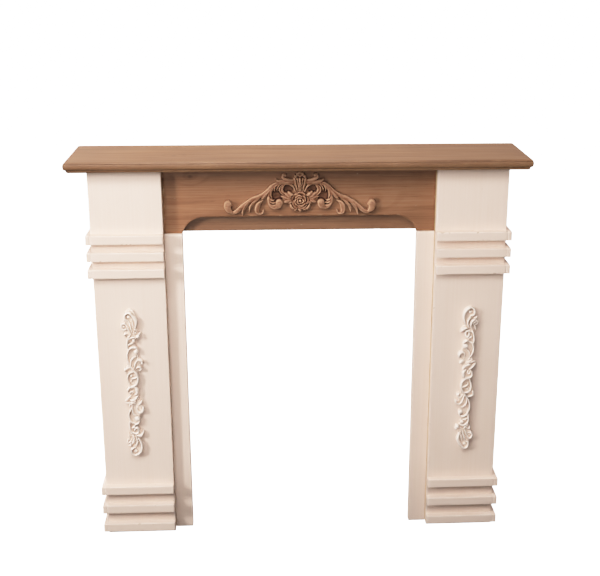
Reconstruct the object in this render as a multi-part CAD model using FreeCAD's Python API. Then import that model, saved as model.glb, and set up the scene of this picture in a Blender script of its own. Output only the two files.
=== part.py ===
import FreeCAD, Part
import math
import os

# Full-size decorative mantelpiece: a stained pine shelf and frieze carried by two
# painted box pilasters. Millimetres, +Z up, the room is towards -Y, the wall is at
# the back, and the origin is on the floor in the middle of the shelf's footprint.

# ---- Overall size ----
SHELF_WIDTH = 1100.0
SHELF_DEPTH = 220.0
TOTAL_HEIGHT = 985.0
SHELF_THICKNESS = 26.0
FRONT_Y = -SHELF_DEPTH / 2
BACK_Y = SHELF_DEPTH / 2
SHELF_UNDERSIDE = TOTAL_HEIGHT - SHELF_THICKNESS

# ---- Shelf edge moulding, measured in from the nose and up from the underside ----
MOULDING_REACH = 16.0
NOSE_BOTTOM = 8.0
NOSE_UNDERCUT = 2.5
NOSE_BULGE_HEIGHT = 15.5
QUARTER_ROUND_SETBACK = 6.0
QUIRK_BOTTOM = 20.4
QUIRK_TOP = 21.8
QUIRK_DEPTH = 1.3
TOP_ARRIS = 2.0

# ---- Boards ----
BOARD = 18.0
FRIEZE_BOARD = 20.0
PILASTER_OUTER_X = 502.0
PILASTER_INNER_X = 329.0
PILASTER_FRONT_Y = FRONT_Y + 40.0
PILASTER_SIDE_FRONT_Y = PILASTER_FRONT_Y + BOARD
BOARD_ARRIS = 1.5

# ---- Return panels beside the fire opening ----
RETURN_INNER_X = 285.0
RETURN_RECESS = 22.0
RETURN_THICKNESS = 20.0
RETURN_FRONT_Y = PILASTER_FRONT_Y + RETURN_RECESS
OPENING_HEIGHT = 797.0

# ---- Frieze: an arched board in front of a straight one ----
FRIEZE_RECESS = 30.0
FRIEZE_FRONT_Y = PILASTER_FRONT_Y + FRIEZE_RECESS
FRIEZE_BACK_Y = FRIEZE_FRONT_Y + FRIEZE_BOARD
RAIL_BACK_Y = FRIEZE_BACK_Y + FRIEZE_BOARD
ARCH_RISE = 40.0
ARCH_CORNER_RADIUS = 56.0
ARCH_TOP = OPENING_HEIGHT + ARCH_RISE

# ---- Bands of moulding round each pilaster ----
BAND_HEIGHT = 22.0
BAND_THICKNESS = 18.0
BAND_SIDE_THICKNESS = 10.0
BAND_ARRIS = 1.0
LOWEST_BAND = 12.0
LOWER_BAND_PITCH = 53.0
LOWEST_UPPER_BAND = 698.5
UPPER_BAND_PITCH = 42.0
BANDS_PER_GROUP = 3

# ---- Hidden framing ----
BATTEN = 20.0
WALL_RAIL_HEIGHT = 80.0
WALL_HOLE_RADIUS = 2.75
WALL_HOLE_SPACING = 440.0
WALL_HOLE_DROP = 40.0
RETURN_BATTEN_BOTTOM = 20.0
RETURN_BATTEN_TOP = 780.0

# ---- Wood screws ----
SCREW_SHANK_RADIUS = 2.0
SCREW_HEAD_RADIUS = 4.0
SCREW_HEAD_HEIGHT = 2.6
SCREW_HOLE_CLEARANCE = 0.15
SHELF_SCREW_LENGTH = 34.0
RAIL_SCREW_LENGTH = 40.0
BATTEN_SCREW_LENGTH = 34.0

# ---- Carved appliques ----
CREST_DEPTH = 12.5
CREST_WEB = 2.0
CREST_BASE = ARCH_TOP + 3.0
DROP_DEPTH = 13.0
DROP_HEIGHT = 392.0
DROP_BASE = 222.0
DROP_CENTRE_X = (PILASTER_INNER_X + PILASTER_OUTER_X) / 2
DOME_ROUNDING = 0.7


def vec(x, y, z):
    return FreeCAD.Vector(x, y, z)


def board(x_range, y_range, z_range):
    """A square-edged board between two planes on each axis."""
    low = vec(min(x_range), min(y_range), min(z_range))
    size = vec(max(x_range), max(y_range), max(z_range)) - low
    return Part.makeBox(size.x, size.y, size.z, low)


def edges_in_plane(shape, axis, value, direction=None):
    """The edges that lie in the plane axis = value, or only those along one direction."""
    found = []
    for edge in shape.Edges:
        ends = [getattr(vertex.Point, axis) for vertex in edge.Vertexes]
        if any(abs(end - value) > 1e-6 for end in ends):
            continue
        along = edge.tangentAt(edge.FirstParameter)
        if direction is None or abs(abs(along.dot(direction)) - 1) < 1e-6:
            found.append(edge)
    return found


def mirrored(shape):
    """The same piece for the other side of the mantel."""
    return shape.mirror(vec(0, 0, 0), vec(1, 0, 0))


def on_side(shape, side):
    """A right-hand piece, mirrored when it belongs on the left."""
    return shape if side == "right" else mirrored(shape)


# ---- Shelf ----
def moulding_wire():
    """Closed profile of the shelf's edge in (reach, height): the nose is at reach 0."""
    bulge = vec(0, 0, NOSE_BULGE_HEIGHT)
    nose_foot = vec(-NOSE_UNDERCUT, 0, NOSE_BOTTOM)
    nose_head = vec(-QUIRK_DEPTH, 0, QUIRK_BOTTOM)
    quirk_in = vec(-2 * QUIRK_DEPTH, 0, (QUIRK_BOTTOM + QUIRK_TOP) / 2)
    quirk_head = vec(-QUIRK_DEPTH, 0, QUIRK_TOP)
    arris_foot = vec(-QUIRK_DEPTH, 0, SHELF_THICKNESS - TOP_ARRIS)
    arris_head = vec(-QUIRK_DEPTH - TOP_ARRIS, 0, SHELF_THICKNESS)
    arris_turn = TOP_ARRIS * (1 - math.sqrt(0.5))
    arris_mid = vec(-QUIRK_DEPTH - arris_turn, 0, SHELF_THICKNESS - arris_turn)
    ledge = vec(-QUARTER_ROUND_SETBACK, 0, NOSE_BOTTOM)
    round_end = vec(-QUARTER_ROUND_SETBACK - NOSE_BOTTOM, 0, 0)
    round_turn = NOSE_BOTTOM * (1 - math.sqrt(0.5))
    round_mid = vec(-QUARTER_ROUND_SETBACK - round_turn, 0, round_turn)
    inner_foot = vec(-MOULDING_REACH, 0, 0)
    inner_head = vec(-MOULDING_REACH, 0, SHELF_THICKNESS)
    return Part.Wire([
        Part.LineSegment(inner_foot, round_end).toShape(),
        Part.Arc(round_end, round_mid, ledge).toShape(),
        Part.LineSegment(ledge, nose_foot).toShape(),
        Part.Arc(nose_foot, bulge, nose_head).toShape(),
        Part.LineSegment(nose_head, quirk_in).toShape(),
        Part.LineSegment(quirk_in, quirk_head).toShape(),
        Part.LineSegment(quirk_head, arris_foot).toShape(),
        Part.Arc(arris_foot, arris_mid, arris_head).toShape(),
        Part.LineSegment(arris_head, inner_head).toShape(),
        Part.LineSegment(inner_head, inner_foot).toShape(),
    ])


def mantel_shelf():
    """The shelf, moulded along its front and both ends, with mitred front corners."""
    profile = Part.Face(moulding_wire())
    front_strip = profile.copy()
    front_strip.rotate(vec(0, 0, 0), vec(0, 0, 1), -90)
    front_strip.translate(vec(-SHELF_WIDTH / 2, FRONT_Y, 0))
    front_strip = front_strip.extrude(vec(SHELF_WIDTH, 0, 0))
    behind = board((-SHELF_WIDTH / 2, SHELF_WIDTH / 2), (FRONT_Y + MOULDING_REACH, BACK_Y),
                   (0, SHELF_THICKNESS))
    moulded_front = behind.fuse(front_strip)

    end_strip = profile.copy()
    end_strip.translate(vec(SHELF_WIDTH / 2, FRONT_Y, 0))
    end_strip = end_strip.extrude(vec(0, SHELF_DEPTH, 0))
    core_x = SHELF_WIDTH / 2 - MOULDING_REACH
    between = board((-core_x, core_x), (FRONT_Y, BACK_Y), (0, SHELF_THICKNESS))
    moulded_ends = between.fuse([end_strip, mirrored(end_strip)])

    shelf = moulded_front.common(moulded_ends).removeSplitter()
    shelf.translate(vec(0, 0, SHELF_UNDERSIDE))
    return shelf


# ---- Frieze ----
def frieze_front_board():
    """The arched board: straight along the top, its opening rounded at both corners."""
    half_drop = ARCH_CORNER_RADIUS - ARCH_RISE
    arc_reach = math.sqrt(ARCH_CORNER_RADIUS ** 2 - half_drop ** 2)
    centre_x = RETURN_INNER_X - arc_reach
    centre_z = ARCH_TOP - ARCH_CORNER_RADIUS
    middle_angle = (math.pi / 2 + math.asin(half_drop / ARCH_CORNER_RADIUS)) / 2
    middle_x = centre_x + ARCH_CORNER_RADIUS * math.cos(middle_angle)
    middle_z = centre_z + ARCH_CORNER_RADIUS * math.sin(middle_angle)
    y = FRIEZE_FRONT_Y

    def line(x0, z0, x1, z1):
        return Part.LineSegment(vec(x0, y, z0), vec(x1, y, z1)).toShape()

    def corner(side):
        foot = vec(side * RETURN_INNER_X, y, OPENING_HEIGHT)
        middle = vec(side * middle_x, y, middle_z)
        head = vec(side * centre_x, y, ARCH_TOP)
        return Part.Arc(foot, middle, head).toShape()

    outline = Part.Wire(Part.sortEdges([
        line(-PILASTER_INNER_X, SHELF_UNDERSIDE, PILASTER_INNER_X, SHELF_UNDERSIDE),
        line(PILASTER_INNER_X, SHELF_UNDERSIDE, PILASTER_INNER_X, OPENING_HEIGHT),
        line(PILASTER_INNER_X, OPENING_HEIGHT, RETURN_INNER_X, OPENING_HEIGHT),
        corner(1),
        line(centre_x, ARCH_TOP, -centre_x, ARCH_TOP),
        corner(-1),
        line(-RETURN_INNER_X, OPENING_HEIGHT, -PILASTER_INNER_X, OPENING_HEIGHT),
        line(-PILASTER_INNER_X, OPENING_HEIGHT, -PILASTER_INNER_X, SHELF_UNDERSIDE),
    ])[0])
    plate = Part.Face(outline).extrude(vec(0, FRIEZE_BOARD, 0))
    arch_edges = [
        edge for edge in edges_in_plane(plate, "y", FRIEZE_FRONT_Y)
        if edge.BoundBox.ZMax < ARCH_TOP + 1 and edge.BoundBox.XLength < 2 * centre_x + 1
        and abs(edge.CenterOfMass.x) < RETURN_INNER_X
    ]
    return plate.makeFillet(BOARD_ARRIS, arch_edges)


def frieze_back_rail():
    """The straight board behind the arch, seen inside it."""
    rail = board((-PILASTER_INNER_X, PILASTER_INNER_X), (FRIEZE_BACK_Y, RAIL_BACK_Y),
                 (OPENING_HEIGHT, SHELF_UNDERSIDE))
    return rail


# ---- Pilasters (right-hand pieces) ----
def pilaster_front():
    panel = board((PILASTER_INNER_X, PILASTER_OUTER_X), (PILASTER_FRONT_Y, PILASTER_SIDE_FRONT_Y),
                  (0, SHELF_UNDERSIDE))
    upright = edges_in_plane(panel, "y", PILASTER_FRONT_Y, vec(0, 0, 1))
    return panel.makeFillet(BOARD_ARRIS, upright)


def pilaster_outer_side():
    return board((PILASTER_OUTER_X - BOARD, PILASTER_OUTER_X), (PILASTER_SIDE_FRONT_Y, BACK_Y),
                 (0, SHELF_UNDERSIDE))


def pilaster_inner_side():
    return board((PILASTER_INNER_X, PILASTER_INNER_X + BOARD), (PILASTER_SIDE_FRONT_Y, BACK_Y),
                 (0, SHELF_UNDERSIDE))


def pilaster_end_board(bottom):
    """A board that closes one end of the box and holds it square."""
    return board((PILASTER_INNER_X + BOARD, PILASTER_OUTER_X - BOARD),
                 (PILASTER_SIDE_FRONT_Y, BACK_Y), (bottom, bottom + BOARD))


def return_panel():
    panel = board((RETURN_INNER_X, PILASTER_INNER_X), (RETURN_FRONT_Y, RETURN_FRONT_Y + RETURN_THICKNESS),
                  (0, OPENING_HEIGHT))
    upright = [edge for edge in edges_in_plane(panel, "x", RETURN_INNER_X, vec(0, 0, 1))]
    return panel.makeFillet(BOARD_ARRIS, upright)


def return_batten():
    """Square batten in the corner between the return panel and the pilaster's side."""
    back = RETURN_FRONT_Y + RETURN_THICKNESS
    return board((PILASTER_INNER_X - BATTEN, PILASTER_INNER_X), (back, back + BATTEN),
                 (RETURN_BATTEN_BOTTOM, RETURN_BATTEN_TOP))


def band_front(bottom):
    """One strip across the pilaster's face, with its long front edges eased."""
    front = PILASTER_FRONT_Y - BAND_THICKNESS
    strip = board((PILASTER_INNER_X, PILASTER_OUTER_X), (front, PILASTER_FRONT_Y),
                  (bottom, bottom + BAND_HEIGHT))
    return strip.makeFillet(BAND_ARRIS, edges_in_plane(strip, "y", front, vec(1, 0, 0)))


def band_side(bottom):
    """The thinner strip that carries the band back along the pilaster's outer side."""
    front = PILASTER_FRONT_Y - BAND_THICKNESS
    strip = board((PILASTER_OUTER_X, PILASTER_OUTER_X + BAND_SIDE_THICKNESS), (front, BACK_Y),
                  (bottom, bottom + BAND_HEIGHT))
    outer = edges_in_plane(strip, "x", PILASTER_OUTER_X + BAND_SIDE_THICKNESS, vec(0, 1, 0))
    return strip.makeFillet(BAND_ARRIS, outer)


def band_levels():
    """Name and underside of every band, from the floor up."""
    levels = {}
    for number in range(BANDS_PER_GROUP):
        levels["lower_band_%d" % (number + 1)] = LOWEST_BAND + number * LOWER_BAND_PITCH
        levels["upper_band_%d" % (number + 1)] = LOWEST_UPPER_BAND + number * UPPER_BAND_PITCH
    return levels


# ---- Framing behind the frieze ----
def shelf_batten():
    """Batten behind the frieze that the shelf is screwed down to."""
    return board((-PILASTER_INNER_X, PILASTER_INNER_X), (RAIL_BACK_Y, RAIL_BACK_Y + BATTEN),
                 (SHELF_UNDERSIDE - BATTEN, SHELF_UNDERSIDE))


def wall_hole_positions():
    height = SHELF_UNDERSIDE - WALL_HOLE_DROP
    return [vec(side * WALL_HOLE_SPACING / 2, BACK_Y - BOARD, height) for side in (-1, 1)]


def wall_rail():
    """Rear rail between the pilasters, drilled for the two screws that fix it to the wall."""
    rail = board((-PILASTER_INNER_X, PILASTER_INNER_X), (BACK_Y - BOARD, BACK_Y),
                 (SHELF_UNDERSIDE - WALL_RAIL_HEIGHT, SHELF_UNDERSIDE))
    for position in wall_hole_positions():
        rail = rail.cut(Part.makeCylinder(WALL_HOLE_RADIUS, BOARD, position, vec(0, 1, 0)))
    return rail


# ---- Screws ----
def screw(seat, direction, length, clearance=0.0):
    """A pan-head wood screw whose head bears on seat and whose shank runs along direction."""
    shank = Part.makeCylinder(SCREW_SHANK_RADIUS + clearance, length, seat, direction)
    if clearance > 0:
        return shank
    head_start = seat - direction * SCREW_HEAD_HEIGHT
    head = Part.makeCylinder(SCREW_HEAD_RADIUS, SCREW_HEAD_HEIGHT, head_start, direction)
    top = head_start.dot(direction)
    rim = [edge for edge in head.Edges
           if edge.Closed and abs(edge.Vertexes[0].Point.dot(direction) - top) < 1e-6]
    return head.makeFillet(SCREW_HEAD_HEIGHT / 2, rim).fuse(shank).removeSplitter()


def shelf_screw_seats():
    """Screws driven up into the shelf: through the batten and both pilaster top boards."""
    up = vec(0, 0, 1)
    batten_y = RAIL_BACK_Y + BATTEN / 2
    batten_z = SHELF_UNDERSIDE - BATTEN
    seats = [(vec(x, batten_y, batten_z), up) for x in (-240, 0, 240)]
    for x in (-DROP_CENTRE_X, DROP_CENTRE_X):
        for y in (-20, 70):
            seats.append((vec(x, y, SHELF_UNDERSIDE - BOARD), up))
    return seats


def rail_screw_seats():
    """Screws driven from inside each pilaster into the ends of the wall rail."""
    seats = []
    for side in (-1, 1):
        for drop in (20, 60):
            seat = vec(side * (PILASTER_INNER_X + BOARD), BACK_Y - BOARD / 2, SHELF_UNDERSIDE - drop)
            seats.append((seat, vec(-side, 0, 0)))
    return seats


def batten_screw_seats():
    """Screws driven from inside each pilaster into the battens behind the return panels."""
    seats = []
    y = RETURN_FRONT_Y + RETURN_THICKNESS + BATTEN / 2
    for side in (-1, 1):
        for height in (80, 400, 720):
            seats.append((vec(side * (PILASTER_INNER_X + BOARD), y, height), vec(-side, 0, 0)))
    return seats


SCREW_SETS = {
    "shelf_screws": (shelf_screw_seats(), SHELF_SCREW_LENGTH),
    "wall_rail_screws": (rail_screw_seats(), RAIL_SCREW_LENGTH),
    "return_batten_screws": (batten_screw_seats(), BATTEN_SCREW_LENGTH),
}


def drilled(shape):
    """The piece with a pilot hole wherever a screw passes through it."""
    for seats, length in SCREW_SETS.values():
        for seat, direction in seats:
            hole = screw(seat, direction, length + SCREW_HOLE_CLEARANCE, SCREW_HOLE_CLEARANCE)
            if shape.BoundBox.intersect(hole.BoundBox) and shape.common(hole).Volume > 1.0:
                shape = shape.cut(hole)
    return shape


# ---- Carved appliques ----
def crescent(start, middle, end, width, depth):
    """A carved stroke between two arcs that meet in a point at each end, in (u, w)."""
    chord = vec(end[0] - start[0], 0, end[1] - start[1])
    across = vec(-chord.z, 0, chord.x)
    across.normalize()
    ends = [vec(point[0], 0, point[1]) for point in (start, end)]
    bows = [vec(middle[0], 0, middle[1]) + across * (side * width / 2) for side in (1, -1)]
    sides = [Part.Arc(ends[0], bow, ends[1]).toShape() for bow in bows]
    return Part.Face(Part.Wire(sides)).extrude(vec(0, -depth, 0))


def dome(centre, radius, height):
    """A rounded boss standing on the applique's back plane."""
    boss = Part.makeCylinder(radius, height, vec(centre[0], 0, centre[1]), vec(0, -1, 0))
    return boss.makeFillet(DOME_ROUNDING * radius, edges_in_plane(boss, "y", -height))


def joined(strokes, domes, depth):
    """Strokes and bosses fused to one casting on the plane y = 0."""
    solids = [crescent(start, middle, end, width, depth) for start, middle, end, width in strokes]
    solids += [dome(centre, radius, height) for centre, radius, height in domes]
    return solids[0].fuse(solids[1:]).removeSplitter()


def centre_ornament():
    """Crest: a shell over a rose, and alike left and right, acanthus scrolls closed by thin webs."""
    right_strokes = [
        ((3, 48), (12, 80), (17, 103), 10),
        ((8, 55), (28, 80), (50, 78), 7),
        ((36, 77), (51, 66), (40, 54), 9),
        ((15, 88), (32, 86), (43, 96), 7),
        ((44, 80), (53, 85), (62, 89), 5),
        ((46, 81), (80, 49), (53, 22), 9),
        ((44, 81), (76, 62), (94, 45), 9),
        ((86, 51), (118, 37), (150, 15), 11),
        ((138, 21), (163, 9), (181, 26), 10),
        ((114, 38), (133, 24), (140, 2), 7),
        ((102, 43), (119, 27), (124, 9), 6),
        ((90, 45), (108, 20), (97, 4), 8),
        ((10, 50), (29, 47), (42, 33), 10),
    ]
    right_domes = [
        ((175, 24), 8.5, 14.5),
        ((97, 10), 5.5, 13.5),
        ((53, 29), 8.0, 14.5),
        ((39, 98), 4.5, 13.0),
        ((15, 29), 8.0, 14.0),
        ((15, 46), 8.0, 14.0),
    ]
    webs = [
        crescent((62, 77), (58, 51), (61, 26), 28, CREST_WEB),
        crescent((23, 76), (31, 66), (39, 56), 20, CREST_WEB),
    ]
    right = joined(right_strokes, right_domes, CREST_DEPTH).fuse(webs).removeSplitter()
    middle = joined([((0, 48), (0, 80), (0, 109), 11)],
                    [((0, 38), 16.0, 17.0), ((0, 21), 7.0, 14.0)], CREST_DEPTH)
    crest = middle.fuse([right, mirrored(right)]).removeSplitter()
    crest.translate(vec(0, FRIEZE_FRONT_Y, CREST_BASE))
    return crest


def pilaster_drop():
    """Slender vine of scrolls and leaves, standing on y = 0 about its own middle."""
    strokes = [
        ((9, 343), (15, 365), (1, 386), 9),
        ((4, 384), (-9, 389), (-16, 376), 8),
        ((0, 328), (-1, 350), (-8, 368), 7),
        ((6, 324), (-5, 343), (-22, 352), 9),
        ((1, 328), (14, 322), (21, 333), 9),
        ((6, 328), (-9, 318), (-12, 298), 8),
        ((-11, 305), (-13, 278), (-5, 247), 8),
        ((-12, 284), (0, 299), (14, 288), 7),
        ((-4, 246), (-1, 268), (11, 276), 6),
        ((2, 241), (8, 258), (20, 266), 6),
        ((5, 236), (16, 246), (22, 237), 6),
        ((-8, 254), (5, 237), (14, 214), 9),
        ((-1, 243), (-17, 244), (-18, 223), 10),
        ((11, 233), (15, 207), (-3, 195), 8),
        ((-17, 229), (-13, 210), (-7, 190), 7),
        ((0, 198), (-14, 184), (-5, 166), 7),
        ((-4, 197), (11, 182), (2, 168), 8),
        ((-7, 171), (2, 158), (12, 169), 7),
        ((0, 168), (2, 155), (-5, 138), 9),
        ((5, 152), (-8, 149), (-21, 158), 8),
        ((0, 147), (12, 146), (21, 156), 6),
        ((-3, 144), (10, 124), (23, 135), 9),
        ((-3, 145), (-14, 120), (-9, 96), 7),
        ((-5, 142), (-2, 125), (6, 112), 6),
        ((-12, 105), (0, 94), (11, 99), 7),
        ((-12, 106), (-14, 80), (-8, 58), 7),
        ((-13, 76), (-3, 72), (9, 82), 7),
        ((-11, 65), (6, 56), (22, 68), 9),
        ((-2, 63), (1, 47), (-14, 35), 9),
        ((2, 61), (7, 46), (-3, 30), 6),
        ((6, 60), (18, 32), (0, 6), 8),
        ((-1, 28), (-12, 17), (3, 6), 7),
        ((-7, 61), (-18, 52), (-19, 41), 6),
    ]
    domes = [
        ((-8, 378), 8.5, 17.0),
        ((-19, 352), 6.5, 15.0),
        ((7, 341), 5.0, 15.5),
        ((12, 335), 5.0, 15.5),
        ((17, 327), 5.5, 16.5),
        ((10, 287), 6.0, 16.5),
        ((-6, 180), 6.0, 16.0),
        ((15, 129), 6.5, 16.5),
        ((7, 106), 7.0, 17.0),
        ((-5, 17), 8.5, 17.5),
    ]
    drop = joined(strokes, domes, DROP_DEPTH)
    drop.translate(vec(0, 0, -DROP_HEIGHT / 2))
    return drop


def pilaster_ornament(side):
    """The left vine is the casting as it comes; the right one is the same, upside down."""
    drop = pilaster_drop()
    if side == "right":
        drop.rotate(vec(0, 0, 0), vec(0, 1, 0), 180)
    x = DROP_CENTRE_X if side == "right" else -DROP_CENTRE_X
    drop.translate(vec(x, PILASTER_FRONT_Y, DROP_BASE + DROP_HEIGHT / 2))
    return drop


# ---- Assembly ----
def pilaster_pieces(side):
    pieces = {
        "pilaster_front": pilaster_front(),
        "pilaster_outer_side": pilaster_outer_side(),
        "pilaster_inner_side": pilaster_inner_side(),
        "pilaster_top_board": pilaster_end_board(SHELF_UNDERSIDE - BOARD),
        "pilaster_bottom_board": pilaster_end_board(0),
        "return_panel": return_panel(),
        "return_batten": return_batten(),
    }
    for name, level in band_levels().items():
        pieces[name + "_front"] = band_front(level)
        pieces[name + "_side"] = band_side(level)
    return {"%s_%s" % (side, name): on_side(shape, side) for name, shape in pieces.items()}


def all_pieces():
    pieces = {
        "mantel_shelf": mantel_shelf(),
        "frieze_front_board": frieze_front_board(),
        "frieze_back_rail": frieze_back_rail(),
        "shelf_batten": shelf_batten(),
        "wall_rail": wall_rail(),
    }
    for side in ("left", "right"):
        pieces.update(pilaster_pieces(side))
    pieces = {name: drilled(shape) for name, shape in pieces.items()}
    pieces["centre_ornament"] = centre_ornament()
    for side in ("left", "right"):
        pieces["%s_pilaster_ornament" % side] = pilaster_ornament(side)
    for name, (seats, length) in SCREW_SETS.items():
        screws = [screw(seat, direction, length) for seat, direction in seats]
        pieces[name] = Part.makeCompound(screws)
    return pieces


os.makedirs("parts", exist_ok=True)
for node, shape in all_pieces().items():
    if not shape.isValid() or not all(solid.isClosed() for solid in shape.Solids):
        raise SystemExit("%s is not a closed, valid shape" % node)
    shape.exportStep("parts/%s.step" % node)
    print(node, len(shape.Solids), "solids, volume", round(shape.Volume / 1000, 1), "cm3")
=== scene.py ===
import math
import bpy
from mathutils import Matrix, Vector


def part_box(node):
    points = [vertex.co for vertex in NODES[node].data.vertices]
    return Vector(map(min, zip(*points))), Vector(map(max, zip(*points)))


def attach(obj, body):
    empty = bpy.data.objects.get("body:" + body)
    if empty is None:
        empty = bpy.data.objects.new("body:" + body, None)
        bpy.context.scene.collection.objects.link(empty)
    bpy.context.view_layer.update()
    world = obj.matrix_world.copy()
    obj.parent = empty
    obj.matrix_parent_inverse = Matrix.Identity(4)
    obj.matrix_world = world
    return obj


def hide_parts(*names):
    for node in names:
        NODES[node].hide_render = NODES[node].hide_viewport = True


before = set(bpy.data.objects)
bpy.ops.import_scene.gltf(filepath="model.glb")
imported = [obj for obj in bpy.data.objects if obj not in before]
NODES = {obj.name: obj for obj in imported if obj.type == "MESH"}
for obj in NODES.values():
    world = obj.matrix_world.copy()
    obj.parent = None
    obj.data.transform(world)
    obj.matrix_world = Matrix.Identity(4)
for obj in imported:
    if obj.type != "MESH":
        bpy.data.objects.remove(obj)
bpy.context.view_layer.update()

import zlib

import bmesh
import bpy
import numpy as np
from mathutils import Matrix, Vector

MM = 0.001


# ---- camera and light
CAMERA_PLACE = (-0.0856, -2.6086, 1.4837)
CAMERA_YAW, CAMERA_PITCH, CAMERA_ROLL = 3.36, 17.83, 0.24
CAMERA_LENS = 65.36
CAMERA_SHIFT = (-0.0444, -0.0022)
# Area lights: place, aim, watts, width and height. The side and rear ones serve the other views.
LIGHTS = {
    "softbox": ((-2.44, -1.91, 1.76), (-0.1, 0.0, 0.6), 78.0, 0.5, 0.6),
    "front": ((-0.35, -2.0, 0.95), (0.0, 0.0, 0.6), 12.0, 1.3, 0.9),
    "overhead": ((-0.3, 0.3, 2.3), (-0.1, 0.05, 0.985), 25.0, 1.2, 0.7),
    "high": ((-0.5, -1.70, 2.55), (0.0, 0.0, 0.45), 55.0, 1.6, 0.8),
    "cove": ((0.0, 2.6, 1.75), (0.0, 0.0, 1.0), 16.0, 4.5, 1.8),
    "side": ((2.6, 0.7, 0.95), (0.55, 0.0, 0.5), 26.0, 1.2, 1.2),
    "rear": ((-1.4, 2.5, 0.75), (0.0, 0.0, 0.5), 34.0, 1.3, 1.0),
}
WARM_LIGHT = (1.0, 0.958, 0.912)
SKY_HIGH, SKY_LOW = 0.05, 0.13
SKY_BLEND = 0.35
FLOOR_GLOW = 3.0
FLOOR_REACH, WALL_RISE, FLOOR_DROP = 40.0, 25.0, 0.0005
# Film response: scene brightness on the left, brightness in the picture on the right.
FILM_WHITE = 3.0
FILM_CURVE = ((0.0, 0.0), (0.2, 0.2), (0.4, 0.4), (0.6, 0.570), (0.8, 0.692), (1.0, 0.779), (1.3, 0.866),
              (1.7, 0.931), (2.2, 0.970), (3.0, 1.0))


def make_camera():
    data = bpy.data.cameras.new("camera")
    data.sensor_width = 36.0
    data.lens = CAMERA_LENS
    data.shift_x, data.shift_y = CAMERA_SHIFT
    data.clip_end = 200.0
    camera = bpy.data.objects.new("camera", data)
    turn = Matrix.Rotation(math.radians(-CAMERA_YAW), 4, "Z")
    turn = turn @ Matrix.Rotation(math.radians(90.0 - CAMERA_PITCH), 4, "X")
    turn = turn @ Matrix.Rotation(math.radians(CAMERA_ROLL), 4, "Z")
    camera.matrix_world = Matrix.Translation(CAMERA_PLACE) @ turn
    bpy.context.collection.objects.link(camera)
    bpy.context.scene.camera = camera


def make_lights():
    for name, (place, aim, watts, width, height) in LIGHTS.items():
        data = bpy.data.lights.new(name, "AREA")
        data.energy = watts
        data.shape = "RECTANGLE"
        data.size, data.size_y = width, height
        data.color = WARM_LIGHT
        light = bpy.data.objects.new(name, data)
        light.location = place
        light.rotation_euler = (Vector(aim) - Vector(place)).to_track_quat("-Z", "Y").to_euler()
        light.visible_camera = False
        bpy.context.collection.objects.link(light)


def make_sky():
    """A faint glow all round, stronger from below than from above."""
    world = bpy.data.worlds.new("studio")
    world.use_nodes = True
    tree = world.node_tree
    background = tree.nodes["Background"]
    place = tree.nodes.new("ShaderNodeTexCoord")
    split = tree.nodes.new("ShaderNodeSeparateXYZ")
    height = tree.nodes.new("ShaderNodeMapRange")
    tree.links.new(place.outputs["Generated"], split.inputs[0])
    tree.links.new(split.outputs["Z"], height.inputs["Value"])
    for key, value in (("From Min", -SKY_BLEND), ("From Max", SKY_BLEND),
                       ("To Min", SKY_LOW), ("To Max", SKY_HIGH)):
        height.inputs[key].default_value = value
    tree.links.new(height.outputs[0], background.inputs["Strength"])
    background.inputs["Color"].default_value = (*WARM_LIGHT, 1.0)
    bpy.context.scene.world = world


def set_film():
    view = bpy.context.scene.view_settings
    view.view_transform = "Standard"
    view.use_curve_mapping = True
    view.curve_mapping.white_level = (FILM_WHITE,) * 3
    film = view.curve_mapping.curves[3]
    for scene_level, picture_level in FILM_CURVE[1:-1]:
        film.points.new(scene_level / FILM_WHITE, picture_level)
    view.curve_mapping.update()


def make_floor():
    """A white floor that meets four far white walls, seen by the camera only."""
    mesh = bpy.data.meshes.new("floor")
    ring = [(FLOOR_REACH * x, FLOOR_REACH * y) for x, y in ((-1, -1), (1, -1), (1, 1), (-1, 1))]
    mesh.from_pydata([(x, y, 0) for x, y in ring] + [(x, y, WALL_RISE) for x, y in ring], [],
                     [(0, 1, 2, 3)] + [((k + 1) % 4, k, k + 4, (k + 1) % 4 + 4) for k in range(4)])
    floor = bpy.data.objects.new("floor", mesh)
    bpy.context.collection.objects.link(floor)
    floor.location.z = -FLOOR_DROP
    floor.visible_diffuse = False
    floor.visible_glossy = False
    material = Shade("floor")
    material.set(roughness=0.95, specular=0.0)
    material.colour((0.9, 0.9, 0.9, 1.0))
    material.shader.inputs["Emission Color"].default_value = (1.0, 1.0, 1.0, 1.0)
    material.shader.inputs["Emission Strength"].default_value = FLOOR_GLOW
    mesh.materials.append(material.material)


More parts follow.
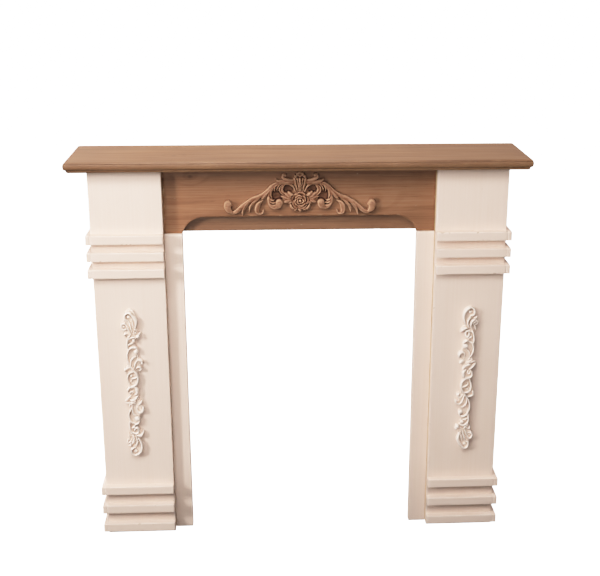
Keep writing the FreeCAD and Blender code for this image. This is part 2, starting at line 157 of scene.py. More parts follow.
# ---- materials
class Shade:
    """A Principled material and short calls that add nodes to it."""

    def __init__(self, name):
        self.material = bpy.data.materials.new(name)
        self.material.use_nodes = True
        self.tree = self.material.node_tree
        self.shader = self.tree.nodes["Principled BSDF"]
        self.place = self.add("TexCoord").outputs["Object"]

    def add(self, kind, **settings):
        node = self.tree.nodes.new("ShaderNode" + kind)
        for key, value in settings.items():
            setattr(node, key, value)
        return node

    def put(self, socket, value):
        if isinstance(value, bpy.types.NodeSocket):
            self.tree.links.new(value, socket)
        else:
            socket.default_value = value

    def set(self, roughness, specular=0.5, metallic=0.0):
        self.put(self.shader.inputs["Roughness"], roughness)
        self.shader.inputs["Specular IOR Level"].default_value = specular
        self.shader.inputs["Metallic"].default_value = metallic

    def colour(self, value):
        self.put(self.shader.inputs["Base Color"], value)

    def math(self, operation, a, b=0.0):
        node = self.add("Math", operation=operation)
        for socket, value in zip(node.inputs, (a, b)):
            self.put(socket, value)
        return node.outputs[0]

    def times(self, a, b):
        return self.math("MULTIPLY", a, b)

    def plus(self, a, b):
        return self.math("ADD", a, b)

    def weigh(self, first, *others):
        """The sum of (value, weight) pairs."""
        total = self.times(*first)
        for pair in others:
            total = self.plus(total, self.times(*pair))
        return total

    def stretch(self, scale, shift=(0.0, 0.0, 0.0)):
        node = self.add("Mapping")
        self.put(node.inputs["Vector"], self.place)
        node.inputs["Scale"].default_value = scale
        node.inputs["Location"].default_value = shift
        return node.outputs[0]

    def noise(self, scale, detail, rough=0.55, shift=(0.0, 0.0, 0.0)):
        node = self.add("TexNoise")
        self.put(node.inputs["Vector"], self.stretch(scale, shift))
        for key, value in (("Scale", 1.0), ("Detail", detail), ("Roughness", rough)):
            node.inputs[key].default_value = value
        return node.outputs["Fac"]

    def between(self, value, low, high, out_low=0.0, out_high=1.0):
        node = self.add("MapRange", interpolation_type="SMOOTHSTEP")
        for socket, number in zip(node.inputs, (value, low, high, out_low, out_high)):
            self.put(socket, number)
        return node.outputs[0]

    def ramp(self, value, stops):
        stops = list(stops)
        node = self.add("ValToRGB")
        self.put(node.inputs[0], value)
        band = node.color_ramp
        while len(band.elements) < len(stops):
            band.elements.new(0.5)
        for element, (at, colour) in zip(band.elements, stops):
            element.position = at
            element.color = (*colour, 1.0)
        return node.outputs[0]

    def mix(self, amount, a, b, blend="MIX"):
        node = self.add("Mix", data_type="RGBA", blend_type=blend)
        self.put(node.inputs[0], amount)
        for socket, value in zip((node.inputs[6], node.inputs[7]), (a, b)):
            self.put(socket, (*value, 1.0) if isinstance(value, tuple) and len(value) == 3 else value)
        return node.outputs[2]

    def attribute(self, name):
        return self.add("Attribute", attribute_name=name).outputs["Fac"]

    def grey(self, value):
        node = self.add("CombineColor")
        for socket in node.inputs[:3]:
            self.put(socket, value)
        return node.outputs[0]

    def bump(self, height, strength, distance):
        node = self.add("Bump")
        node.inputs["Strength"].default_value = strength
        node.inputs["Distance"].default_value = distance
        self.put(node.inputs["Height"], height)
        self.put(self.shader.inputs["Normal"], node.outputs[0])


def along(axis, with_grain, across):
    """A texture scale: few repeats along the grain, many across it."""
    return tuple(with_grain if k == axis else across for k in range(3))


# Colour of stained pine, from the late wood's dark lines to the pale early wood.
PINE_DARK = (0.140, 0.060, 0.028)
PINE_MIDDLE = (0.244, 0.116, 0.058)
PINE_PALE = (0.325, 0.170, 0.091)
PINE_WORN = (0.440, 0.280, 0.172)
PINE_STAIN_AND_SHADE = (0.060, 0.025, 0.013)
PINE_KNOT = (0.075, 0.030, 0.015)
PINE_NICK = (0.48, 0.34, 0.23)
BARE_PINE = ((0.40, 0.25, 0.125), (0.58, 0.41, 0.23), (0.68, 0.51, 0.31))
# Knots: place on the board, and size.
SHELF_KNOTS = ((-0.30, -0.03, 0.985, 0.007), (0.21, 0.05, 0.985, 0.006))
FRIEZE_KNOTS = ((-0.262, -0.04, 0.937, 0.007), (0.185, -0.04, 0.875, 0.010))
# The painted light falloff from left to right spans this half width; the painted shade under the shelf sets
# in between two heights.
PAINTED_FALLOFF_REACH = 0.33
SHELF_SHADE_LOW, SHELF_SHADE_HIGH = 0.905, 0.950


def stained_pine(name, axis, knots, shift=0.0, tint=(1.0, 1.0, 1.0), roughness=0.48, specular=0.45,
                 painted_falloff=(1.0, 1.0), painted_shade=1.0):
    """Stained, waxed pine: ring lines that bend round knots, fine pores, nicks and worn arrises."""
    shade = Shade(name)
    offset = (shift, shift * 0.7, shift * 1.3)
    split = shade.add("SeparateXYZ")
    shade.put(split.inputs[0], shade.place)
    warp = shade.noise(along(axis, 1.3, 7.0), 2.0, shift=offset)
    across = split.outputs["Z" if axis != 2 else "X"]
    rings = shade.weigh((across, 70.0), (split.outputs["Y"], 55.0), (warp, 8.0))
    knot_mask = None
    for x, y, z, size in knots:
        away = shade.add("VectorMath", operation="DISTANCE")
        shade.put(away.inputs[0], shade.stretch((0.6, 1.0, 1.0)))
        away.inputs[1].default_value = (0.6 * x, y, z)
        near = shade.between(away.outputs["Value"], 0.0, size * 4.5, 1.0, 0.0)
        rings = shade.plus(rings, shade.times(near, 4.0))
        ragged = shade.plus(away.outputs["Value"],
                            shade.times(shade.noise((90.0, 90.0, 90.0), 3.0), 0.6 * size))
        spot = shade.between(ragged, size * 0.55, size * 1.15, 1.0, 0.0)
        knot_mask = spot if knot_mask is None else shade.math("MAXIMUM", knot_mask, spot)
    wave = shade.math("SINE", shade.times(rings, 2.0))
    late_wood = shade.between(wave, 0.1, 1.0)
    streaks = shade.noise(along(axis, 6.0, 380.0), 5.0, 0.62, offset)
    broad = shade.noise(along(axis, 2.2, 30.0), 4.0, 0.55, offset)
    mottle = shade.noise((6.5, 8.0, 10.0), 3.0, 0.5, offset)
    tone = shade.weigh((streaks, 0.50), (broad, 0.30), (late_wood, -0.055), (mottle, 0.26))
    colour = shade.ramp(tone, [(0.28, PINE_DARK), (0.51, PINE_MIDDLE), (0.74, PINE_PALE)])
    pores = shade.noise(along(axis, 26.0, 900.0), 3.0, 0.5, offset)
    colour = shade.mix(shade.between(pores, 0.62, 0.74, 0.0, 0.45), colour, PINE_STAIN_AND_SHADE)
    if knot_mask is not None:
        colour = shade.mix(shade.times(knot_mask, 0.62), colour, PINE_KNOT)
    edge = shade.attribute("wear")
    patch = shade.noise((38.0, 38.0, 38.0), 4.0, 0.6, offset)
    rubbed = shade.times(edge, shade.between(patch, 0.52, 0.70))
    grimed = shade.times(edge, shade.between(patch, 0.56, 0.36))
    colour = shade.mix(shade.times(grimed, 0.50), colour, PINE_DARK)
    colour = shade.mix(shade.times(rubbed, 0.65), colour, PINE_WORN)
    # Painted shade over the shelf's moulded edge, strongest in its recesses and on its underside.
    colour = shade.mix(shade.attribute("moulding_shade"), colour, PINE_STAIN_AND_SHADE)
    nick = shade.between(shade.noise((85.0, 85.0, 130.0), 2.0, 0.5, (shift + 4.1, 0.0, 2.0)), 0.775, 0.80)
    colour = shade.mix(shade.times(nick, 0.7), colour, PINE_NICK)
    colour = shade.mix(1.0, colour, tint, "MULTIPLY")
    # Painted light that changes from left to right, and painted shade under the shelf.
    strength = shade.between(split.outputs["X"], -PAINTED_FALLOFF_REACH, PAINTED_FALLOFF_REACH, *painted_falloff)
    under_shelf_shade = shade.between(split.outputs["Z"], SHELF_SHADE_LOW, SHELF_SHADE_HIGH, 1.0, painted_shade)
    strength = shade.times(strength, under_shelf_shade)
    shade.colour(shade.mix(1.0, colour, shade.grey(strength), "MULTIPLY"))
    shade.set(shade.between(streaks, 0.3, 0.7, roughness + 0.06, roughness - 0.06), specular)
    shade.bump(shade.weigh((streaks, 0.5), (pores, -0.35), (nick, -0.8)), 0.35, 0.0005)
    return shade.material


CREAM = (0.820, 0.650, 0.560)
CREAM_LIGHT = (0.850, 0.690, 0.605)
CREAM_SHADE = (0.785, 0.605, 0.508)
CREAM_RUBBED = (0.89, 0.76, 0.685)
UNDERCOAT = (0.480, 0.330, 0.225)
# The paint is darker towards the floor up to this height, as painted shade. The next line gives the painted
# shade on the face between the lower bands, in front of RECESS_BACK, and the painted highlight on the bands'
# top edges.
FLOOR_SHADE_REACH = 0.24
RECESS_SHADE, TOP_HIGHLIGHT = 0.28, 0.12
RECESS_BACK = -0.058
RECESSES = ((0.034, 0.065), (0.087, 0.118))
BAND_TOPS = (0.034, 0.087, 0.140, 0.7205, 0.7625, 0.8045)


def cream_paint(name, axis, painted_shade, shift=0.0, specks=1.0, recesses=(), tops=()):
    """Brushed cream paint over wood: brush lines along the board, chipped arrises, painted shade near the
    floor.
    """
    shade = Shade(name)
    offset = (shift, shift * 1.9, shift * 0.6)
    brush = shade.noise(along(axis, 3.0, 240.0), 5.0, 0.6, offset)
    broad = shade.noise(along(axis, 2.2, 18.0), 3.0, 0.5, offset)
    mottle = shade.noise((5.0, 5.0, 5.0), 3.0, 0.5, offset)
    tone = shade.weigh((brush, 0.40), (broad, 0.25), (mottle, 0.35))
    colour = shade.ramp(tone, [(0.25, CREAM_SHADE), (0.50, CREAM), (0.75, CREAM_LIGHT)])
    edge = shade.attribute("wear")
    patch = shade.noise((44.0, 44.0, 44.0), 5.0, 0.62, offset)
    rubbed = shade.times(edge, shade.between(patch, 0.40, 0.62))
    chipped = shade.times(edge, shade.between(patch, 0.635, 0.665))
    colour = shade.mix(shade.times(rubbed, 0.55), colour, CREAM_RUBBED)
    colour = shade.mix(shade.times(chipped, 0.45 * specks), colour, UNDERCOAT)
    scuff = shade.noise(along(axis, 60.0, 260.0), 3.0, 0.5, (shift + 9.0, 3.0, 1.0))
    speck = shade.between(scuff, 0.735, 0.775)
    colour = shade.mix(shade.times(speck, 0.30 * specks), colour, UNDERCOAT)
    split = shade.add("SeparateXYZ")
    shade.put(split.inputs[0], shade.place)
    height = split.outputs["Z"]
    # Painted shade: darker towards the floor and on the face under each lower band; a painted highlight on
    # the bands' top edges.
    paint_light_and_shade = shade.between(height, 0.0, FLOOR_SHADE_REACH, painted_shade, 1.0)
    for low, high in recesses:
        rising = shade.between(height, low - 0.003, low + 0.60 * (high - low))
        ending = shade.between(height, high + 0.005, high + 0.015, 1.0, 0.0)
        outside = shade.between(split.outputs["Y"], RECESS_BACK - 0.004, RECESS_BACK, -RECESS_SHADE, 0.0)
        recess_shade = shade.times(shade.times(rising, ending), outside)
        paint_light_and_shade = shade.times(paint_light_and_shade, shade.plus(recess_shade, 1.0))
    for top in tops:
        above = shade.between(height, top - 0.0035, top - 0.0005, 0.0, TOP_HIGHLIGHT)
        below = shade.between(height, top + 0.002, top + 0.004, 1.0, 0.0)
        paint_light_and_shade = shade.times(paint_light_and_shade, shade.plus(shade.times(above, below), 1.0))
    shade.colour(shade.mix(1.0, colour, shade.grey(paint_light_and_shade), "MULTIPLY"))
    shade.set(shade.between(brush, 0.3, 0.7, 0.62, 0.50), specular=0.32)
    shade.bump(shade.weigh((brush, 0.6), (broad, 0.2), (chipped, -0.5)), 0.30, 0.0005)
    return shade.material


# Carving: colour in the hollows, between them and the ridges, and on the ridges. The hollows' colour is
# painted shade, over darker stain on the crest, and the ridges' colour is a painted highlight.
CREST_TONES = ((0.034, 0.011, 0.005), (0.215, 0.094, 0.050), (0.48, 0.275, 0.172))
VINE_TONES = ((0.70, 0.555, 0.465), (0.86, 0.695, 0.605), (0.97, 0.86, 0.79))
ZINC_DARK, ZINC_PALE = (0.42, 0.41, 0.38), (0.62, 0.61, 0.57)


def carved(name, tones, grain=0.35, roughness=0.5, specular=0.35):
    """A finish on carving: the hollows take painted shade, over darker stain on the crest, and the ridges a
    painted highlight.
    """
    shade = Shade(name)
    relief = shade.attribute("relief")
    patch = shade.noise((70.0, 70.0, 70.0), 4.0, 0.6)
    lines = shade.noise((60.0, 200.0, 420.0), 4.0, 0.6)
    tone = shade.plus(relief, shade.times(shade.math("SUBTRACT", patch, 0.5), 0.35))
    tone = shade.plus(tone, shade.times(shade.math("SUBTRACT", lines, 0.5), grain))
    shade.colour(shade.ramp(tone, zip((0.18, 0.50, 0.86), tones)))
    shade.set(roughness, specular=specular)
    shade.bump(shade.plus(shade.times(lines, grain), patch), 0.25, 0.0004)
    return shade.material


def bare_pine(name, axis):
    """Unpainted planed pine for the framing that faces the wall."""
    shade = Shade(name)
    lines = shade.noise(along(axis, 3.0, 160.0), 5.0, 0.6)
    broad = shade.noise(along(axis, 1.5, 22.0), 3.0, 0.5)
    tone = shade.weigh((lines, 0.55), (broad, 0.45))
    shade.colour(shade.ramp(tone, zip((0.32, 0.5, 0.7), BARE_PINE)))
    shade.set(0.72, specular=0.25)
    shade.bump(lines, 0.35, 0.0006)
    return shade.material


def zinc_steel(name):
    shade = Shade(name)
    cloud = shade.noise((900.0, 900.0, 900.0), 3.0)
    shade.colour(shade.ramp(cloud, [(0.35, ZINC_DARK), (0.65, ZINC_PALE)]))
    shade.set(shade.between(cloud, 0.3, 0.7, 0.30, 0.46), metallic=1.0)
    shade.bump(cloud, 0.1, 0.0002)
    return shade.material


# ---- meshes
def seed_of(name):
    return np.random.default_rng(zlib.crc32(name.encode()))


def add_piece(name, points, faces, material, attributes, sharp_angle=40.0):
    """A mesh object with smooth shading, hard edges above an angle, and point attributes."""
    mesh = bpy.data.meshes.new(name)
    mesh.from_pydata([tuple(point) for point in points], [], faces)
    for key, values in attributes.items():
        layer = mesh.attributes.new(key, "FLOAT", "POINT")
        layer.data.foreach_set("value", np.asarray(values, dtype=np.float32))
    mesh.materials.append(material)
    mesh.shade_smooth()
    mesh.set_sharp_from_angle(angle=math.radians(sharp_angle))
    mesh.update()
    piece = bpy.data.objects.new(name, mesh)
    bpy.context.collection.objects.link(piece)
    return piece


def tube(rings, around):
    """The faces between closed rings of points, each with that many points around."""
    faces = []
    for start in range(0, (rings - 1) * around, around):
        for j in range(around):
            k = (j + 1) % around
            faces.append((start + j, start + k, start + around + k, start + around + j))
    return faces


def stand_for(piece, node):
    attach(piece, "root")
    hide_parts(node)


def wander(random, count, step, length, size):
    """Smooth random offsets at points that are step apart: bumps about length long."""
    knots = max(4, int(count * step / length) + 3)
    values = random.normal(0.0, size, knots)
    return np.interp(np.linspace(0, knots - 1.001, count), np.arange(knots), values)


def arris_wear(random, count, step, radius):
    """How far a board's arris is rubbed back at each station, with a few deeper nicks."""
    cut = radius * (1.0 + 0.22 * wander(random, count, step, 25 * MM, 1.0))
    for _ in range(int(count * step / 0.16) + 1):
        centre = random.uniform(0, count)
        reach = random.uniform(2.0, 7.0) * MM / step
        depth = radius * random.uniform(0.4, 1.6)
        cut += depth * np.exp(-((np.arange(count) - centre) / reach) ** 2)
    return np.clip(cut, 0.35 * radius, 3.2 * radius)


# Points round one corner of a board and round all four; spacing of stations along it; length of its bows.
PER_CORNER, RING = 5, 20
STEP = 7 * MM
BOW_LENGTH = 90 * MM


def worn_board(name, node, axis, material, radius, wave=0.25 * MM):
    """A board along one axis whose four long arrises are rounded, uneven and slightly nicked."""
    low, high = (np.array(corner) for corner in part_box(node))
    across, through = [k for k in range(3) if k != axis]
    length = high[axis] - low[axis]
    count = max(6, int(length / STEP) + 1)
    random = seed_of(name)
    stations = np.concatenate([[0.0, 0.35 * radius, radius], np.linspace(0.0, length, count)[1:-1],
                               [length - radius, length - 0.35 * radius, length]])
    tuck = np.concatenate([[radius, 0.3 * radius, 0.0], np.zeros(count - 2), [0.0, 0.3 * radius, radius]])
    total = len(stations)
    band = 3.0 * MM
    half = (high - low) / 2
    middle = (high + low) / 2
    rings, wear = [], []
    corners = [(1, 1), (-1, 1), (-1, -1), (1, -1)]
    cuts = [arris_wear(random, total, STEP, radius) for _ in corners]
    bows = [wander(random, total, STEP, BOW_LENGTH, wave) for _ in range(4)]
    for i in range(total):
        ring = []
        for k, (side_a, side_b) in enumerate(corners):
            cut = min(cuts[k][i], 0.3 * min(half[across], half[through]))
            edge_a = half[across] - tuck[i] - abs(bows[0 if side_a > 0 else 1][i]) * 0.6
            edge_b = half[through] - tuck[i] - abs(bows[2 if side_b > 0 else 3][i]) * 0.6
            inset = min(cut + band, 0.8 * min(edge_a, edge_b))
            turn = cut * (1 - math.sqrt(0.5))
            corner = [(edge_a, edge_b - inset), (edge_a, edge_b - cut), (edge_a - turn, edge_b - turn),
                      (edge_a - cut, edge_b), (edge_a - inset, edge_b)]
            if side_a * side_b < 0:
                corner.reverse()
            ring += [(side_a * a, side_b * b) for a, b in corner]
        rings.append(ring)
        flat_part = (0, PER_CORNER - 1) if 2 < i < total - 3 else ()
        wear += [0.0 if j % PER_CORNER in flat_part else 1.0 for j in range(RING)]
    points = np.zeros((total * RING, 3))
    for i, ring in enumerate(rings):
        for j, (a, b) in enumerate(ring):
            points[i * RING + j, axis] = low[axis] + stations[i]
            points[i * RING + j, across] = middle[across] + a
            points[i * RING + j, through] = middle[through] + b
    faces = tube(total, RING)
    caps, points, wear = [], list(points), list(wear)
    for start, at in ((0, low[axis]), ((total - 1) * RING, high[axis])):
        inner = []
        for j in range(RING):
            point = points[start + j].copy()
            for k in (across, through):
                point[k] = middle[k] + (point[k] - middle[k]) * max(0.3, 1 - band / half[k])
            point[axis] = at
            inner.append(len(points))
            points.append(point)
            wear.append(0.0)
        for j in range(RING):
            k = (j + 1) % RING
            caps.append((start + k, start + j, inner[j], inner[k]))
        caps.append(tuple(inner))
    piece = add_piece(name, points, faces + caps, material, {"wear": wear})
    mend_normals(piece)
    stand_for(piece, node)


def mend_normals(piece, cut=False):
    """Turn every face outwards; cut also splits the many-sided faces into triangles."""
    work = bmesh.new()
    work.from_mesh(piece.data)
    if cut:
        bmesh.ops.triangulate(work, faces=[face for face in work.faces if len(face.verts) > 4])
    bmesh.ops.recalc_face_normals(work, faces=work.faces)
    work.to_mesh(piece.data)
    work.free()


# ---- shelf and frieze
# The shelf edge from top face to underside: set back and height in millimetres, wear, painted shade.
# Wear is rubbed arrises on the top and the nose, and a painted highlight on the lower member. Painted shade
# lies lightly over the front and is strongest in the quirk, on the ledge and on the underside.
MOULDING = [(18, 26, 0, 0), (9, 26, 0, 0), (6.2, 25.9, 0, 0.1), (4.2, 25.5, 0.2, 0.25),
            (2.6, 24.7, 0.3, 0.3), (1.5, 23.5, 0.2, 0.28), (1.1, 22.6, 0, 0.25), (1.9, 22, 0, 0.5),
            (1.9, 21.4, 0, 0.5), (0.8, 20.7, 0, 0.2), (0.15, 19, 0.1, 0.13), (0, 16.5, 0.3, 0.12),
            (0.2, 14.2, 0.1, 0.13), (0.9, 11.8, 0, 0.1), (2, 9.8, 0, 0.05), (3.6, 8.3, 0, 0.1),
            (5.3, 7.7, 0, 0.35), (6.3, 7.2, 0, 0.45), (6.6, 6.4, 0.1, 0.1), (6.8, 4.8, 0.3, 0),
            (7.4, 3.2, 0.2, 0), (8.7, 1.7, 0, 0), (10.8, 0.6, 0, 0.2), (14, 0.1, 0, 0.4), (18, 0, 0, 0.5)]
# Height on the moulding, and spread, of the wear along its top arris and its nose, in millimetres.
TOP_ARRIS, NOSE = (25.2, 1.4), (15.5, 3.5)


def mantel_shelf(material):
    low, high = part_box("mantel_shelf")
    random = seed_of("shelf")
    turn = 2.5 * MM
    reach = MOULDING[0][0] * MM
    stops = [(-1.0, y, 0.0) for y in np.arange(high[1], low[1] + reach, -STEP)]
    stops += [(-1.0, None, angle) for angle in np.linspace(0, 90, 7)]
    stops += [(0.0, x, 90.0) for x in np.arange(low[0] + reach + STEP, high[0] - reach - STEP / 2, STEP)]
    stops += [(1.0, None, angle) for angle in np.linspace(90, 0, 7)]
    stops += [(1.0, y, 0.0) for y in list(np.arange(low[1] + reach + STEP, high[1], STEP)) + [high[1]]]
    count, rows = len(stops), len(MOULDING)
    top_wear = arris_wear(random, count, STEP, 0.5 * MM)
    nose_wear = arris_wear(random, count, STEP, 0.3 * MM)
    points, wear, moulding_shade = [], [], []
    for i, (end, along_edge, angle) in enumerate(stops):
        # Each row's stained value is painted shade; its rubbed value is wear, and on the lower member a
        # painted highlight.
        for set_back, height, rubbed, stained in MOULDING:
            back = set_back * MM
            if set_back < reach / MM:
                back += top_wear[i] * math.exp(-((height - TOP_ARRIS[0]) / TOP_ARRIS[1]) ** 2)
                back += nose_wear[i] * math.exp(-((height - NOSE[0]) / NOSE[1]) ** 2)
            if along_edge is None:
                hub, arm = max(turn, back), max(turn - back, 0.0)
                x = end * (high[0] - hub + arm * math.cos(math.radians(angle)))
                y = low[1] + hub - arm * math.sin(math.radians(angle))
            elif end:
                x, y = end * (high[0] - back), along_edge
            else:
                x, y = along_edge, low[1] + back
            points.append((x, y, low[2] + height * MM))
            wear.append(rubbed)
            moulding_shade.append(stained)
    faces = []
    for i in range(count - 1):
        for j in range(rows - 1):
            a = i * rows + j
            faces.append((a, a + 1, a + rows + 1, a + rows))
    faces.append(tuple(i * rows for i in range(count)))
    faces.append(tuple(i * rows + rows - 1 for i in reversed(range(count))))
    faces.append(tuple(range(rows)) + tuple((count - 1) * rows + j for j in reversed(range(rows))))
    piece = add_piece("mantel_shelf_stained", points, faces, material, {"wear": wear, "moulding_shade": moulding_shade}, 50.0)
    mend_normals(piece)
    stand_for(piece, "mantel_shelf")


def arched_board(material):
    low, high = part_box("frieze_front_board")
    random = seed_of("arched board")
    leg, rise, radius = 44 * MM, 40 * MM, 56 * MM
    step = 6 * MM
    half_drop = radius - rise
    reach = math.sqrt(radius ** 2 - half_drop ** 2)
    foot_x = high[0] - leg
    centre_x, centre_z = foot_x - reach, low[2] + rise - radius
    last_angle = math.asin(half_drop / radius)

    def run(x0, z0, x1, z1):
        count = max(1, int(math.hypot(x1 - x0, z1 - z0) / step))
        return [(x0 + (x1 - x0) * k / count, z0 + (z1 - z0) * k / count) for k in range(count)]

    angles = np.linspace(last_angle, math.pi / 2, 13)
    arc = [(centre_x + radius * math.cos(a), centre_z + radius * math.sin(a)) for a in angles]
    outline = run(-high[0], high[2], -high[0], low[2])
    outline += run(-high[0], low[2], -foot_x, low[2])
    outline += [(-x, z) for x, z in arc]
    outline += run(-centre_x, low[2] + rise, centre_x, low[2] + rise)[1:]
    outline += list(reversed(arc))
    outline += run(foot_x, low[2], high[0], low[2])[1:]
    outline += run(high[0], low[2], high[0], high[2])
    outline += run(high[0], high[2], -high[0], high[2])
    outline = np.array(outline)
    count = len(outline)
    ahead, behind = np.roll(outline, -1, axis=0), np.roll(outline, 1, axis=0)
    tangent = (ahead - behind) / np.linalg.norm(ahead - behind, axis=1)[:, None]
    inward = np.stack([-tangent[:, 1], tangent[:, 0]], axis=1)
    arris = arris_wear(random, count, step, 1.3 * MM)
    rows = [(3.5 * MM + arris, 0.0 * arris, 0.0), (arris, 0.0 * arris, 1.0), (0.3 * arris, 0.3 * arris, 1.0),
            (0.0 * arris, arris, 1.0), (0.0 * arris, arris + 3 * MM, 0.0)]
    points, wear = [], []
    for inset, set_back, worn in rows:
        for (x, z), (nx, nz), a, b in zip(outline, inward, inset, set_back):
            points.append((x + nx * a, low[1] + b, z + nz * a))
            wear.append(worn)
    for x, z in outline:
        points.append((x, high[1], z))
        wear.append(0.0)
    faces = tube(len(rows) + 1, count)
    faces.append(tuple(range(count)))
    faces.append(tuple(reversed(range(len(rows) * count, (len(rows) + 1) * count))))
    piece = add_piece("frieze_front_board_stained", points, faces, material, {"wear": wear})
    mend_normals(piece, cut=True)
    stand_for(piece, "frieze_front_board")


# ---- carving
PATH_STEPS = 10
CENTRE_GRID, VINE_GRID = 0.8, 0.7
# Widening of the crest's strokes. A stroke's sides stand at WALL of its height, lower between petals.
CENTRE_GAIN = 1.18
WALL, PETAL_WALL, BUD_WALL = 0.62, 0.25, 0.7
# Heights are raised to the power BULGE. A point's lift, 0 in a hollow and 1 on a ridge, is from its height
# above the SOFTENING times blurred relief and from its height as a share of the whole depth.
BULGE, SOFTENING = 0.7, 12
LOCAL_LIFT, DEPTH_LIFT, MIDDLE_DEPTH = 0.20, 0.30, 0.62
# The lift sets the carving's colour: painted shade where it is low, a painted highlight where it is high.
# The rims and feet of the walls and the back take fixed lifts; the foot's lower lift is painted shade along
# the edge.
RIM_HEIGHT, RIM_LIFT, FOOT_LIFT, BACK_LIFT = 0.85, 0.8, 0.4, 0.1
# How far the foot of each table lies outside the CAD casting's box.
DROP_FOOT, CREST_FOOT = 4.2 * MM, 2 * MM


def smooth_path(points, widths):
    """A Catmull-Rom curve through the points, as rows of (u, w, half width)."""
    knots = np.array(points, dtype=float)
    spots = np.linspace(0, 1, len(widths))
    knots = np.column_stack([knots, np.interp(np.linspace(0, 1, len(knots)), spots, widths)])
    ends = np.vstack([2 * knots[0] - knots[1], knots, 2 * knots[-1] - knots[-2]])
    found = []
    for a, b, c, d in zip(ends, ends[1:], ends[2:], ends[3:]):
        for t in np.linspace(0, 1, PATH_STEPS, endpoint=False):
            found.append(0.5 * (2 * b + (c - a) * t + (2 * a - 5 * b + 4 * c - d) * t ** 2
                                + (3 * b - a - 3 * c + d) * t ** 3))
    found.append(knots[-1])
    return np.array(found)


def section(kind, s):
    """Height across a stroke, from 0 at its sides to 1; s runs from -1 to 1 across it."""
    t = np.clip(np.abs(s), 0, 1)
    dome = np.sqrt(1 - t ** 2)
    if kind == "flat":
        return np.ones_like(t)
    if kind == "ridge":
        return 0.75 * (1 - t) ** 0.9 + 0.25 * dome
    if kind == "left":
        return dome * np.clip(0.62 - 0.55 * s, 0.2, 1)
    if kind == "right":
        return dome * np.clip(0.62 + 0.55 * s, 0.2, 1)
    return dome


def blur(grid):
    padded = np.pad(grid, 1, mode="edge")
    return (padded[:-2, 1:-1] + padded[2:, 1:-1] + padded[1:-1, :-2] + padded[1:-1, 2:]
            + 2 * padded[1:-1, 1:-1]) / 6


class Relief:
    """A carving on a grid of heights, in millimetres: each stroke is laid over or into the last."""

    def __init__(self, u_range, w_range, step):
        self.step = step
        self.u = np.arange(u_range[0], u_range[1] + step, step)
        self.w = np.arange(w_range[0], w_range[1] + step, step)
        self.cover = np.full((len(self.u), len(self.w)), -9.0)
        self.height = np.zeros_like(self.cover)

    def stroke(self, kind, height, widths, points, over=False, wall=WALL):
        if len(points) > 1:
            path = smooth_path(points, widths)
        else:
            path = np.array([(*points[0], widths[0])], dtype=float)
        reach = path[:, 2].max() + 3 * self.step
        u_cells = np.flatnonzero((self.u > path[:, 0].min() - reach) & (self.u < path[:, 0].max() + reach))
        w_cells = np.flatnonzero((self.w > path[:, 1].min() - reach) & (self.w < path[:, 1].max() + reach))
        window = np.ix_(u_cells, w_cells)
        u, w = self.u[u_cells][:, None], self.w[w_cells][None, :]
        best = np.argmax([half - np.hypot(u - a, w - b) for a, b, half in path], axis=0)
        du, dw = u - path[best, 0], w - path[best, 1]
        away = np.hypot(du, dw)
        cover = path[best, 2] - away
        side = 1.0
        if len(points) > 1:
            run = np.gradient(path[:, :2], axis=0)
            side = np.sign(run[best, 1] * du - run[best, 0] * dw)
        s = side * away / np.maximum(path[best, 2], 0.1)
        rise = height * np.clip(0.55 + 0.45 * path[best, 2] / path[:, 2].max(), 0, 1)
        top = np.where(cover > 0, rise * (wall + (1 - wall) * section(kind, s)), 0.0)
        if over:
            self.height[window] = np.where(cover > 0, top, self.height[window])
        else:
            self.height[window] = np.maximum(self.height[window], top)
        self.cover[window] = np.maximum(self.cover[window], cover)

    def draw(self, strokes, gain=1.0, mirror=False):
        """Lay down a table of strokes. Gain widens all but flat strokes and beads."""
        for kind, height, widths, spots, *over in strokes:
            points = list(zip(spots[::2], spots[1::2]))
            if kind != "flat" and len(points) > 1:
                widths = [gain * width for width in widths]
            self.stroke(kind, height, widths, points, bool(over))
            if mirror:
                swapped = {"left": "right", "right": "left"}.get(kind, kind)
                self.stroke(swapped, height, widths, [(-u, w) for u, w in points], bool(over))


def bead(height, radius, u, w):
    return "round", height, (radius,), (u, w)


